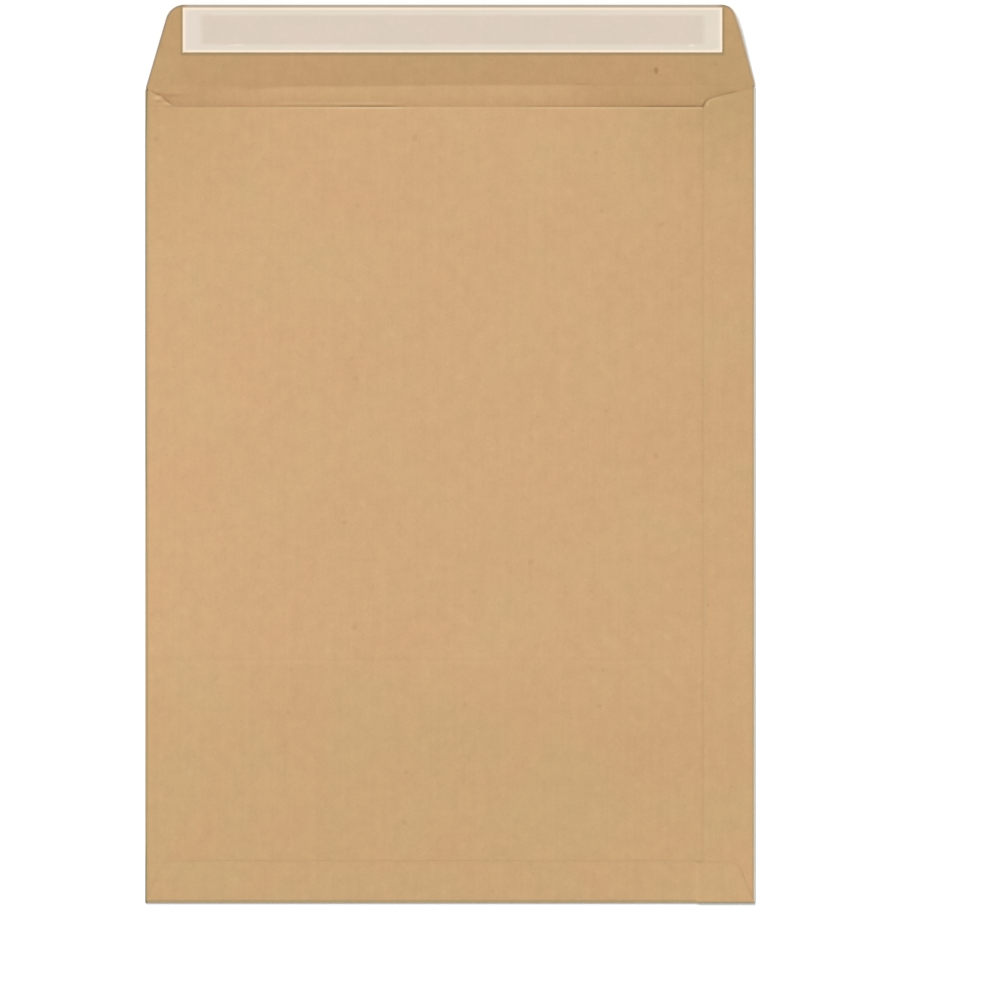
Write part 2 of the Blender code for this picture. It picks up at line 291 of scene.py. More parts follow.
def swellAt(waves, x, y):  # from 0 to 1
    total, most = 0, 0
    for length, angle, phase, share in waves:
        across = x * math.cos(angle) + y * math.sin(angle)
        total = total + share * np.sin(2 * math.pi * across / length + phase)
        most += share
    return (total + most) / (2 * most)


def strokesAt(lines, x, y):
    shown = np.zeros(x.shape)
    for half, points in lines:
        for (x0, y0, s0), (x1, y1, s1) in zip(points, points[1:]):
            spanX, spanY = x1 - x0, y1 - y0
            share = np.clip(((x - x0) * spanX + (y - y0) * spanY) / (spanX**2 + spanY**2), 0, 1)
            gap = np.hypot(x - x0 - share * spanX, y - y0 - share * spanY)
            strength = s0 + share * (s1 - s0)
            shown = np.maximum(shown, strength * ridge(gap, half, strokeReach))
    return shown


def linesAt(lines, throatLine, x, y):  # strokes and a line along the throat, in millimetres
    above = y - throat * 1000 - throatLine["offset"]
    strength = np.interp(x, *zip(*throatLine["along"]))
    line = strength * ridge(above, throatLine["half"], throatLine["reach"])
    return np.maximum(strokesAt(lines, x, y), line)


def rubbedAt(x, y):
    right = ramp(x, *wear["rubbedRight"]) * (y < crease)
    return np.maximum(right, np.minimum(ramp(y, *wear["rubbedLow"]), wear["rubbedLowMost"]))


def toneShiftAt(x, y):
    shade = bumpsAt(toneShiftPlaces, x * 1000, y * 1000)
    for run, most in footShades:
        shade += ramp((marks["packLine"] - y) * 1000, 0, run) * most
    return np.clip(shade, 0, 1)


def untintedAt(x, y):
    # The middle of the throat and the flap's own ends are left out of the flap's darker tone
    edge = crease + np.interp(x, *tones["untintedEdge"])
    middle = ramp(x, *tones["untintedLeft"]) * ramp(x, *tones["untintedRight"])
    middle = middle * softStep(y, edge, -tones["untintedSoft"])
    left = tones["paleLeftMost"] * ramp(x, *tones["paleLeft"]) * ramp(y, *tones["endsFoot"])
    ends = left + tones["paleRightMost"] * ramp(x, *tones["paleRight"])
    return middle + ends * ramp(y, *tones["endsTop"])


def oliveAt(x, y):  # the flap's ends are a little greener than its middle
    left = ramp(x, *tones["oliveLeft"]) * ramp(y, *tones["endsTop"]) * ramp(y, *tones["endsFoot"])
    high = np.maximum(ramp(y, *tones["oliveTop"]), tones["oliveTopLeast"])
    return left + ramp(x, *tones["oliveRight"]) * high


def foldWearAt(u, v):
    # Worn most along the fold's outermost line, and fading from there over the back
    along, inset, leftReach = zip(*leftFoldWear)
    left = leftBend - math.pi * leftRadius / 2 - u - np.interp(v, along, inset)
    right = u - rightBend - math.pi * rightRadius / 2 - wear["rightInset"]
    low = bottomBend - math.pi * bottomLowRadius / 2 - v - wear["bottomInset"]
    worn = 0
    for past, most, reach in (
        (left, 1.0, np.interp(v, along, leftReach)),
        (right, wear["rightMost"], wear["rightReach"]),
        (low, wear["bottomMost"], wear["bottomReach"]),
    ):
        fade = np.where(past > 0, reach, wear["outerReach"])
        worn = np.maximum(worn, most * ridge(past, fade, wear["coreReach"]))
    return worn * (v < crease)


def rightEndAt(u, v):  # the seal flap's right end
    return ramp(u, *wear["endFrom"]) * ramp(v, crease, wear["endRise"])


def tipRimAt(u, v):
    along = ramp(u, linerLeft, wear["dustEnds"]) * ramp(u, linerRight, -wear["dustEnds"])
    return along * softStep(v, linerTop, wear["dustSoft"])


def gapeAt(x, y):
    across = np.abs(x - (leftBend + rightBend) / 2) / ((rightBend - leftBend) / 2)
    along = np.clip((throat - y) / (throat - panelFoot), 0, None)
    power = sheet["gapeFullness"]
    opened = np.clip(1 - across**power, 0, None) * np.clip(1 - along**power, 0, None)
    room = np.clip(opened * marks["backRippleRoom"], 0, 1)
    ripple = marks["backRipple"] * (swellAt(backWaves, x, y) - 1)
    line = marks["packLineHeight"] * bump(y - marks["packLine"], marks["packLineReach"])
    return sheet["gape"] * opened + (ripple - line) * room


def creaseAt(v):
    run = v - crease
    soft = marks["creaseSoftness"]
    hinge = math.tan(sheet["flapLift"]) * (run + np.sqrt(run**2 + soft**2)) / 2
    valley = bump(run - marks["scoreOffset"], marks["scoreReach"])
    rise = bump(run - marks["scoreOffset"], marks["scoreRise"])
    return hinge + marks["scoreDepth"] * (rise - valley)


def wrinkleAt(u, v):
    along = u - marks["wrinkleU"]
    off = v - marks["wrinkleV"] - marks["wrinkleSlope"] * along
    height = bump(off, marks["wrinkleHalfWidth"]) * bump(along, marks["wrinkleHalfLength"])
    return marks["wrinkleHeight"] * height


def halfTurn(run, radius, w):
    turned = np.minimum(run / radius, math.pi)
    back = np.clip(run - math.pi * radius, 0, None)
    out = (radius - w) * np.sin(turned) - back
    return out, radius - (radius - w) * np.cos(turned)


def folded(u, v, w, topLimit):
    w = np.broadcast_to(w, u.shape)
    place = np.stack([u, v, frontLevel + w], axis=1)

    run = v - crease
    flap = run > 0
    flat = (v >= bottomBend) & (u >= leftBend) & (u <= rightBend) | flap
    place[flat, 2] += (creaseAt(v) + wrinkleAt(u, v))[flat]
    lift = sheet["flapLift"]
    share = np.clip(run / sheet["flapDepth"], 0, 1) ** marks["flapRippleRise"]
    place[flap, 1] = (crease + run * math.cos(lift) - w * math.sin(lift))[flap]
    place[flap, 2] += (marks["flapRipple"] * swellAt(flapWaves, u, run) * share)[flap]

    low = v < bottomBend
    share = ramp(u, sideEdge - 2 * sheet["bottomStep"], sheet["bottomStep"])
    share = share * share * (3 - 2 * share)  # the bottom flap steps up over the side flap
    radius = bottomLowRadius + share * (bottomHighRadius - bottomLowRadius)
    out, up = halfTurn(np.clip(bottomBend - v, 0, None), radius, w)
    y = bottomBend - out
    place[low, 1] = y[low]
    place[low, 2] = (frontLevel + up + gapeAt(u, y))[low]

    for towards, bend, bendRadius in ((-1, leftBend, leftRadius), (1, rightBend, rightRadius)):
        past = (u - bend) * towards
        side = (past > 0) & ~low & ~flap
        out, up = halfTurn(np.clip(past, 0, None), bendRadius, w)
        x = bend + towards * out
        height = frontLevel + up + gapeAt(x, v)
        if towards < 0:
            turned = np.clip(past / (math.pi * bendRadius), 0, 1)
            near = np.clip(1 - (topLimit - v) / marks["lipRun"], 0, 1)
            height += (bumpsAt(pinches, x, v) - marks["lipDrop"] * near**2) * turned
        place[side, 0] = x[side]
        place[side, 2] = height[side]
    return place


def distanceToBorder(points, rimFrom, rimTo, search=0.003):  # only right within the search distance
    nearest = np.full(len(points), 1.0)
    for a, b in zip(points[rimFrom], points[rimTo]):
        span = b - a
        close = np.abs(points - (a + b) / 2).max(axis=1) < search + np.abs(span).max()
        offset = points[close] - a
        share = np.clip(offset @ span / (span @ span), 0, 1)
        gap = np.linalg.norm(offset - share[:, None] * span, axis=1)
        nearest[close] = np.minimum(nearest[close], gap)
    return nearest


def sheetMesh(name, grids, thickness, middle, finishes, relief=None, cutReach=None):
    # grids are (U, V, topLimit) arrays of the sheet's middle. Shared borders are joined,
    # then the two faces and the cut rim are made from them.
    flat, quads, tops = [], [], []
    start = 0
    for gridU, gridV, top in grids:
        rows, columns = gridU.shape
        index = start + np.arange(rows * columns).reshape(rows, columns)
        flat.append(np.stack([gridU.ravel(), gridV.ravel()], axis=1))
        tops.append((np.full(gridU.shape, np.inf) if top is None else top).ravel())
        a, b, c, d = index[:-1, :-1], index[:-1, 1:], index[1:, 1:], index[1:, :-1]
        quads.append(np.stack([a.ravel(), b.ravel(), c.ravel(), d.ravel()], axis=1))
        start += rows * columns
    flat, quads, tops = np.concatenate(flat), np.concatenate(quads), np.concatenate(tops)
    keys = np.round(flat * 1e7).astype(np.int64)
    _, first, inverse = np.unique(keys, axis=0, return_index=True, return_inverse=True)
    inverse = inverse.ravel()
    flat, quads = flat[first], inverse[quads]
    lowest = np.full(len(flat), np.inf)
    np.minimum.at(lowest, inverse, tops)

    edgeFrom, edgeTo = quads.ravel(), np.roll(quads, -1, axis=1).ravel()
    forward = edgeFrom.astype(np.int64) * len(flat) + edgeTo
    reverse = edgeTo.astype(np.int64) * len(flat) + edgeFrom
    border = ~np.isin(forward, reverse)
    rimFrom, rimTo = edgeFrom[border], edgeTo[border]

    u, v = flat[:, 0], flat[:, 1]
    raised = relief(u, v) if relief else 0
    inner = folded(u, v, middle + thickness / 2 + raised, lowest)
    outer = folded(u, v, middle - thickness / 2 + raised, lowest)
    count = len(flat)
    rim = np.stack([rimFrom + count, rimTo + count, rimTo, rimFrom], axis=1)
    faces = np.concatenate([quads, quads[:, ::-1] + count, rim])
    points = np.concatenate([inner, outer])
    mesh = bpy.data.meshes.new(name)
    mesh.from_pydata(points.tolist(), [], faces.tolist())

    loopVertex = np.empty(len(mesh.loops), np.int32)
    mesh.loops.foreach_get("vertex_index", loopVertex)
    flatMap = mesh.uv_layers.new(name="flatSheet")
    flatMap.uv.foreach_set("vector", flat[loopVertex % count].astype(np.float32).ravel())

    away = distanceToBorder(flat, rimFrom, rimTo)
    end = rightEndAt(u, v) * (cutReach is None)
    cut = ridge(away - wear["endInset"] * end, cutReach or wear["cutReach"], 1)
    bare = np.minimum(ridge(away, wear["bareReach"], wear["bareCore"]), wear["bareMost"])
    x, y = points[:, 0], points[:, 1]
    millimetres = x * 1000, y * 1000
    isInner = np.arange(len(points)) < count
    painted = {
        "cutEdge": np.tile(cut * (1 - wear["endLoss"] * end), 2),
        # wear along the folds, and painted shade at the left fold's ends
        "foldEdge": np.maximum(np.tile(foldWearAt(u, v), 2), strokesAt(foldEndShade, *millimetres)),
        # painted shade: the fine dark lines and the line along the throat
        "paintedShade": linesAt(shadeLines, throatShadow, *millimetres),
        # painted highlights: the fine pale lines and the throat's turned edge
        "paintedHighlight": linesAt(highlightLines, throatLip, *millimetres),
        "rubbed": np.maximum(rubbedAt(x, y), np.tile(end * bare, 2)),
        "tipRim": np.tile(tipRimAt(u, v), 2),
        "toneShift": np.where(isInner, oliveAt(x, y), toneShiftAt(x, y)),
        "untinted": untintedAt(x, y),
        "warm": np.clip(bumpsAt(warmPlaces, *millimetres), 0, 1),
    }
    for label, values in painted.items():
        attribute = mesh.attributes.new(label, "FLOAT", "POINT")
        attribute.data.foreach_set("value", values.astype(np.float32))

    for finish in finishes:  # of the inner face, the outer face and the rim
        mesh.materials.append(finish)
    slots = np.repeat(np.arange(3, dtype=np.int32), [len(quads), len(quads), len(rim)])
    mesh.polygons.foreach_set("material_index", slots)
    mesh.shade_smooth()
    mesh.set_sharp_from_angle(angle=cells["sharpAngle"])
    mesh.validate()
    mesh.update()
    piece = bpy.data.objects.new(name, mesh)
    bpy.context.collection.objects.link(piece)
    return piece


def addNode(tree, kind, inputs=(), out=0, **settings):
    # Inputs go by place or by name. The output that leads on is given back, or the node for None.
    node = tree.nodes.new("ShaderNode" + kind)
    for name, value in settings.items():
        setattr(node, name, value)
    for socket, value in inputs.items() if isinstance(inputs, dict) else enumerate(inputs):
        if isinstance(value, bpy.types.NodeSocket):
            tree.links.new(value, node.inputs[socket])
        else:
            node.inputs[socket].default_value = value
    return node if out is None else node.outputs[out]


def linearColour(hexColour):
    channels = [int(hexColour[i : i + 2], 16) / 255 for i in (0, 2, 4)]
    return (*[c / 12.92 if c <= 0.04045 else ((c + 0.055) / 1.055) ** 2.4 for c in channels], 1)


def perMetre(millimetres):  # pattern scale for features of this size
    return 1000 / millimetres


def newMaterial(name):
    made = bpy.data.materials.new(name)
    made.use_nodes = True
    tree = made.node_tree
    return made, tree, tree.nodes["Principled BSDF"]


def layered(add, colour, layers):  # each layer is how much of it shows, its tone and how it blends
    for share, tone, blend in layers:
        tone = linearColour(tone) if isinstance(tone, str) else tone
        inputs = {0: share, 6: colour, 7: tone}
        colour = add("Mix", inputs, 2, data_type="RGBA", blend_type=blend)
    return colour


def manilaPaper(name, look):
    # Buff manila, kraft and recycled pulp: matt and warm, cloudy where the fibres have flocked,
    # with short fibres, a few dark shives and bits of paler pulp.
    made, tree, shader = newMaterial(name)
    add = partial(addNode, tree)
    shift = look["shift"]
    place = add("Mapping", {"Vector": add("UVMap", uv_map="flatSheet"), "Location": shift})

    def pulp(size, detail, roughness=0.5, stretch=(1, 1, 1), distortion=0.0, turn=0.0):
        # How the pulp varies over this many millimetres, turned and then drawn out
        spread = add("Mapping", {"Vector": place, "Rotation": (0, 0, turn)})
        spread = add("Mapping", {"Vector": spread, "Scale": stretch})
        inputs = {"Vector": spread, "Scale": perMetre(size), "Detail": detail}
        inputs.update({"Roughness": roughness, "Distortion": distortion})
        return add("TexNoise", inputs, noise_dimensions="2D")

    # Fibres are 1 to 3 mm long and far finer than a pixel, so they are drawn 0.3 mm wide
    fibres = [pulp(0.34, 2, 0.5, (1, 0.16, 1), 0.5, turn) for turn in (0.25, 1.35, 2.4)]

    def specks(size, radius, share, ragged, soft, most):
        sources = (pulp(1.1, 2), fibres[2])
        wobble = [add("Math", (source, ragged), operation="MULTIPLY") for source in sources]
        moved = add("VectorMath", (place, add("CombineXYZ", wobble)), operation="ADD")
        inputs = {"Vector": moved, "Scale": perMetre(size)}
        cell = add("TexVoronoi", inputs, None, voronoi_dimensions="2D").outputs
        chance = add("SeparateColor", (cell["Color"],), None).outputs
        chosen = add("MapRange", (chance[0], 1 - share, 1.02 - share, 0, most))
        limit = add("MapRange", (chance[1], 0, 1, 0.4 * radius / size, radius / size))
        inside = add("Math", (limit, cell["Distance"]), operation="SUBTRACT")
        shown = add("MapRange", (inside, -0.5 * soft / size, 0.5 * soft / size))
        return add("Math", (chosen, shown), operation="MULTIPLY")

    def painted(label, low=0.0, high=1.0, least=0.0, most=1.0):  # how strongly a mark shows
        mark = add("Attribute", out="Fac", attribute_name=label)
        return add("MapRange", (mark, low, high, least, most))

    clouds = pulp(look["cloud"], 3, 0.55, distortion=0.6)
    patches = pulp(look["cloud"] * 0.33, 2)
    streaks = pulp(look["streak"], 2, stretch=(1, 0.02, 1))
    layers = [
        (add("MapRange", (clouds, 0.33, 0.67)), look["olive"], "MIX"),
        (add("MapRange", (patches, 0.35, 0.65, 0, 0.45)), look["base"], "MIX"),
        (1.0, add("MapRange", (pulp(look["floc"], 4, 0.6), 0.3, 0.7, 0.965, 1.023)), "MULTIPLY"),
        (1.0, add("MapRange", (streaks, 0.3, 0.7, 0.988, 1.008)), "MULTIPLY"),
        (add("MapRange", (fibres[0], 0.62, 0.72, 0, look["fibre"])), look["paleFibre"], "MIX"),
        (add("MapRange", (fibres[1], 0.63, 0.74, 0, look["fibre"])), look["darkFibre"], "MIX"),
        (specks(*look["bits"]), look["paleFibre"], "MIX"),
        (specks(*look["dots"]), look["shive"], "MIX"),
        (specks(*look["shives"]), look["shive"], "MIX"),
    ]

    # Some places are darker on the outer face and greener on the inner face; cut edges and folds are darker
    # and greyer, and the wear is patchy
    patchy = add("MapRange", (pulp(look["wornPatch"], 3), 0.25, 0.6, 0.75, 1.0))
    cuts = painted("cutEdge", 0.1, 0.5, most=look["cutWear"])
    folds = painted("foldEdge", 0.0, 0.7, most=0.55 * look["foldWearAndShade"])
    layers += [
        (painted("toneShift"), look["toneShift"], "MULTIPLY"),
        (painted("warm"), look["warm"], "MULTIPLY"),
        (add("Math", (cuts, patchy), operation="MULTIPLY"), look["wear"], "MIX"),
        (add("Math", (folds, patchy), operation="MULTIPLY"), look["wear"], "MIX"),
        # grey of the worn folds, and painted shade at the left fold's ends
        (painted("foldEdge", 0.75, 1.0, most=look["foldWearAndShade"]), look["fold"], "MIX"),
        # painted highlights along the shoulders, the side flap's edge and the throat's turned edge
        (painted("paintedHighlight"), look["raised"], "MIX"),
        (painted("rubbed"), look["rubbed"], "MIX"),
        # painted shade along the throat, the pinched shoulders, the side flap's top edge and the crease
        (painted("paintedShade", most=0.85), look["lineShade"], "MIX"),
    ]
    # painted shadow just outside the release strip
    for box in look.get("stripShadowBoxes", ()):
        layers.append((stripShadowLine(add, place, shift, box), look["stripShadow"], "MIX"))
    for atU, atV, halfU, halfV in look.get("stains", ()):  # bits of bark in the pulp
        centre = (atU + shift[0], atV + shift[1], 0)
        far = add("VectorMath", (place, centre), operation="SUBTRACT")
        far = add("VectorMath", (far, (1 / halfU, 1 / halfV, 0)), operation="MULTIPLY")
        far = add("VectorMath", (far,), "Value", operation="LENGTH")
        far = add("Math", (far, pulp(0.9, 2)), operation="ADD")
        layers.append((add("MapRange", (far, 0.7, 1.7, 0.55, 0.0)), look["bark"], "MIX"))
    if "flapTint" in look:  # the flap is darker than the middle of the throat and its own ends
        layers.append((painted("untinted", least=1.0, most=0.0), look["flapTint"], "MULTIPLY"))
        layers.append((painted("tipRim", most=0.85), look["tip"], "MIX"))

    relief = pulp(look["toothSize"], 5, 0.65)
    for fibre in fibres[:2]:
        relief = add("Math", (fibre, 0.6, relief), operation="MULTIPLY_ADD")
    bumped = add("Bump", {"Strength": look["tooth"], "Distance": 0.00006, "Height": relief})
    smooth, rough = look["roughness"] - 0.05, look["roughness"] + 0.05
    rough = add("MapRange", (pulp(3, 3), 0.3, 0.7, smooth, rough))
    tree.links.new(layered(add, linearColour(look["pink"]), layers), shader.inputs["Base Color"])
    tree.links.new(rough, shader.inputs["Roughness"])
    tree.links.new(bumped, shader.inputs["Normal"])
    shader.inputs["IOR"].default_value = 1.5
    shader.inputs["Specular IOR Level"].default_value = look["shine"]
    return made


def stripShadowLine(add, place, shift, box):
    # Painted shadow: a soft dark line just outside a rectangle of the flat sheet, where what lies on it
    # shades the paper
    left, right, low, high, out, width, most = box
    axes = add("SeparateXYZ", (place,), None).outputs
    gaps = []
    for axis, first, last, move in ((axes[0], left, right, shift[0]), (axes[1], low, high, shift[1])):
        off = add("Math", (axis, (first + last) / 2 + move), operation="SUBTRACT")
        off = add("Math", (off,), operation="ABSOLUTE")
        gaps.append(add("Math", (off, (last - first) / 2), operation="SUBTRACT"))
    off = add("Math", (add("Math", gaps, operation="MAXIMUM"), out), operation="SUBTRACT")
    off = add("Math", (off,), operation="ABSOLUTE")
    return add("MapRange", (off, 0.2 * width, width, most, 0.0))


def outlineRows(points):  # (v, u) of an edge, in rising v, for interpolation
    points = sorted((v, u) for u, v in points)
    return [p[0] for p in points], [p[1] for p in points]


def rowGrid(rows, columns, leftPoints, rightPoints):
    # A panel whose rows run between two slanting edges
    rows = np.array(rows)
    shares = (np.array(columns) - columns[0]) / (columns[-1] - columns[0])
    first, last = np.interp(rows, *outlineRows(leftPoints)), np.interp(rows, *outlineRows(rightPoints))
    gridU = first[:, None] + shares[None, :] * (last - first)[:, None]
    return gridU, np.repeat(rows[:, None], len(columns), axis=1), None


def columnGrid(columns, rows, topPoints, footPoints, topRun, footRun):
    # A panel whose columns run between a foot and a top edge that change with u
    columns, rows = np.array(columns), np.array(rows)
    top = np.interp(columns, *zip(*sorted(topPoints)))
    foot = np.interp(columns, *zip(*sorted(footPoints)))
    highStart, lowStart = rows[-1] - topRun, rows[0] + footRun
    gridV = np.repeat(rows[:, None], len(columns), axis=1)
    high, low = rows > highStart, rows < lowStart
    upShare = (rows[high] - highStart) / topRun
    gridV[high] = highStart + upShare[:, None] * (top - highStart)[None, :]
    downShare = (lowStart - rows[low]) / footRun
    gridV[low] = lowStart - downShare[:, None] * (lowStart - foot)[None, :]
    gridU = np.repeat(columns[None, :], len(rows), axis=0)
    return gridU, gridV, np.repeat(top[None, :], len(rows), axis=0)


# Mesh cells, and the bands where they are finer because the paper bends, is worn or is marked
cells = {
    "plain": 0.0036,
    "flap": 0.0028,
    "foot": 0.0026,
    "right": 0.0016,
    "side": 0.0012,
    "marked": 0.0006,
    "lip": 0.00055,
    "seam": 0.0005,
    "step": 0.0004,
    "worn": 0.0003,
    "leftBand": 0.016,
    "rightBand": 0.0033,
    "wornBand": 0.0024,
    "turnedBand": 0.003,
    "beforeSeam": 0.005,
    "afterSeam": 0.012,
    "packBand": 0.0024,
    "lipBelow": 0.007,
    "lipEdge": 0.001,
    "lipAbove": 0.003,
    "stepBand": 0.0044,
    "stripEdge": 0.0012,
    "stripRow": 0.0014,
    "backTopRun": 0.014,
    "sideTopRun": 0.02,
    "footRun": 0.006,
    "hair": 0.00006,  # points nearer than this are one
    "gridHair": 0.00005,
    "stripHair": 0.00012,
    "sharpAngle": math.radians(42),
}


def steps(first, last, size):
    count = max(1, math.ceil(abs(last - first) / size - 1e-6))
    return list(np.linspace(first, last, count + 1))


def spaced(*stretches):  # places along stretches that are each (first, last, size)
    return [place for stretch in stretches for place in steps(*stretch)]


def merged(values, least):  # sorted, with places that nearly coincide left out
    kept = []
    for value in sorted(values):
        if not kept or value - kept[-1] > least:
            kept.append(value)
    return kept


def within(values, low, high, slack=1e-7):
    return [value for value in values if low - slack <= value <= high + slack]


def roundedCorner(before, at, after, radius, stepAngle=math.radians(7)):
    at, back, on = Vector(at), Vector(before) - Vector(at), Vector(after) - Vector(at)
    back.normalize()
    on.normalize()
    half = back.angle(on) / 2
    centre = at + (back + on).normalized() * (radius / math.sin(half))
    first = at + back * (radius / math.tan(half)) - centre
    turn = (math.pi - 2 * half) * (1 if back.cross(on) < 0 else -1)
    count = max(3, math.ceil(abs(turn) / stepAngle))
    points = []
    for i in range(count + 1):
        a = turn * i / count
        x = first.x * math.cos(a) - first.y * math.sin(a)
        y = first.x * math.sin(a) + first.y * math.cos(a)
        points.append((centre.x + x, centre.y + y))
    return points


def cornerOnto(v, before, at, after, radius):  # a rounded corner that ends exactly on a row
    arc = roundedCorner(before, at, after, radius)
    return arc[:-1] + [(arc[-1][0], v)]


def panelColumns():
    worn, plain, notch = cells["worn"], cells["plain"], sheet["cornerNotch"]
    leftFine, rub = leftBend + cells["leftBand"], wear["cutReach"]
    seamLow, seamHigh = sideEdge - cells["beforeSeam"], sideEdge + cells["afterSeam"]
    columns = spaced(
        (leftBend, leftBend + cells["wornBand"], worn),
        (leftBend + rub, leftFine, cells["marked"]),
        (leftFine, seamLow, plain),
        (seamLow, sideEdge, cells["seam"]),
        (sideEdge, seamHigh, cells["marked"]),
        (seamHigh, rightBend - rub, cells["right"]),
        (rightBend - cells["rightBand"], rightBend, worn),
    )
    ends = [leftBend, rightBend, leftBend + notch, rightBend - notch]
    return merged(columns + ends, cells["gridHair"])


def panelRows():
    lineLow, lineHigh = marks["packLine"] - cells["packBand"], marks["packLine"] + cells["packBand"]
    lipStart, lipLow = throat - cells["lipBelow"], throat - cells["lipEdge"]
    lipHigh = throat + cells["lipAbove"]
    rows = spaced(
        (panelFoot + wear["cutReach"], lineLow, cells["plain"]),
        (lineLow, lineHigh, cells["marked"]),
        (lineHigh, lipStart, cells["plain"]),
        (lipStart, lipLow, cells["lip"]),
        (lipLow, lipHigh, cells["worn"]),
        (lipHigh, crease, cells["seam"]),
    )
    rows = [r for r in rows if min(abs(r - leftTop), abs(r - rightTop)) > 2 * cells["gridHair"]]
    return merged(rows + [bottomBend, panelFoot, leftTop, rightTop, crease], cells["gridHair"])


def sealFlapGrid(columns):
    stepLow, stepTop = crease + sheet["flapStepRise"], crease + sheet["flapStepTop"]
    tipLeft = (leftBend + sheet["flapInsetLeft"], flapTip)
    tipRight = (halfWidth - sheet["flapInsetRight"], flapTip)
    knee = (halfWidth - sheet["flapKneeInset"], crease + sheet["flapKneeRise"])
    leftArc = cornerOnto(flapTip, (leftBend, crease), tipLeft, tipRight, sheet["flapCornerLeft"])
    rightArc = cornerOnto(flapTip, knee, tipRight, tipLeft, sheet["flapCornerRight"])
    arcRows = [v for _, v in leftArc + rightArc[:-1]]
    fineTop = crease + cells["stepBand"]
    rows = spaced(
        (stepLow, stepTop, cells["step"]),
        (stepTop, fineTop, cells["step"]),
        (fineTop, min(arcRows), cells["flap"]),
    )
    rows += [crease, knee[1]] + [v for v in arcRows if v < flapTip - cells["hair"]]
    rows = merged(rows, cells["hair"]) + [flapTip]
    rightSide = [(rightBend, crease), (halfWidth, stepLow), (halfWidth, stepTop), knee] + rightArc
    return rowGrid(rows, columns, [(leftBend, crease)] + leftArc, rightSide)


def bottomFlapGrid(columns):
    notch, ear, radius = sheet["cornerNotch"], sheet["cornerEar"], sheet["bottomCorner"]
    footTip = bottomV(bottomEdge)
    squareLow = bottomBend - sheet["bottomSquare"]
    left, right = leftBend + notch, rightBend - notch
    inset = (sheet["bottomDepth"] - sheet["bottomSquare"]) * math.tan(sheet["bottomTaper"])
    lowLeft, lowRight = (left + inset, footTip), (right - inset, footTip)
    leftArc = cornerOnto(footTip, (left, squareLow), lowLeft, lowRight, radius)
    rightArc = cornerOnto(footTip, (right, squareLow), lowRight, lowLeft, radius)
    arcRows = [v for _, v in leftArc]
    turn = math.pi * bottomHighRadius
    turnEnd = bottomBend - turn
    fineEnd = turnEnd - cells["turnedBand"]
    rows = spaced(
        (bottomBend, turnEnd, turn / 14),
        (turnEnd, fineEnd, cells["worn"]),
        (fineEnd, max(arcRows), cells["foot"]),
    )
    rows = merged(rows + arcRows + [squareLow], cells["hair"])
    earLow = bottomBend - notch / 2
    leftSide = [(left, bottomBend), (leftBend - ear, earLow), (leftBend - ear, squareLow)] + leftArc
    rightSide = [(right, bottomBend), (rightBend + ear, earLow), (rightBend + ear, squareLow)] + rightArc
    return rowGrid(rows, within(columns, left, right), leftSide, rightSide)


def backGrid(columns, rows):
    edge = backU(halfWidth - sheet["backEdgeMargin"])
    shoulder = (backU(-halfWidth + sheet["shoulderOut"]), crease - sheet["shoulderDrop"])
    foot = (backU(-halfWidth + sheet["shoulderFoot"]), throat)
    hidden = sheet["hiddenCorner"]
    topCorner = roundedCorner((foot[0], throat), (edge, throat), (edge, panelFoot), hidden)
    lowCorner = roundedCorner((edge, throat), (edge, panelFoot), (leftBend, panelFoot), hidden)
    top = [(leftBend, leftTop)]
    top += roundedCorner((leftBend, leftTop), shoulder, foot, sheet["shoulderCorner"])
    top += roundedCorner(shoulder, foot, (edge, throat), sheet["shoulderFillet"]) + topCorner
    turn = math.pi * leftRadius
    under = [backU(x) for x in columns if x > leftBend + cells["worn"]]
    backColumns = steps(leftBend, leftBend - turn, turn / 10) + [edge]
    backColumns += [u for u in under if u > edge + hidden] + [u for u, _ in topCorner]
    footPoints = [(leftBend, panelFoot)] + lowCorner
    return columnGrid(
        merged(backColumns, cells["hair"]), within(rows, panelFoot, leftTop), top, footPoints,
        cells["backTopRun"], cells["footRun"],
    )


def sideGrid(rows):
    edge = sideU(sideEdge)
    sideTop = (edge, rightTop - sheet["sideDepth"] * math.tan(sheet["sideSlope"]))
    start, foot = (rightBend, rightTop), (edge, panelFoot)
    topCorner = roundedCorner(start, sideTop, foot, sheet["sideCorner"])
    lowCorner = roundedCorner((edge, rightTop), foot, (rightBend, panelFoot), sheet["hiddenCorner"])
    turn = math.pi * rightRadius
    turnEnd = rightBend + turn
    fineEnd = turnEnd + cells["turnedBand"]
    columns = spaced(
        (rightBend, turnEnd, turn / 12),
        (turnEnd, fineEnd, cells["worn"]),
        (fineEnd, edge - sheet["sideCorner"], cells["side"]),
    )
    columns = merged(columns + [u for u, _ in topCorner] + [edge], cells["hair"])
    gridU, gridV, _ = columnGrid(
        columns, within(rows, panelFoot, rightTop), [start] + topCorner,
        [(rightBend, panelFoot)] + lowCorner, cells["sideTopRun"], cells["footRun"],
    )
    return gridU, gridV, None


def paperGrids():
    columns, rows = panelColumns(), panelRows()
    leftSide, rightSide = ([(bend, bottomBend), (bend, crease)] for bend in (leftBend, rightBend))
    address = rowGrid(rows, columns, leftSide, rightSide)
    return [address, sealFlapGrid(columns), bottomFlapGrid(columns), backGrid(columns, rows), sideGrid(rows)]


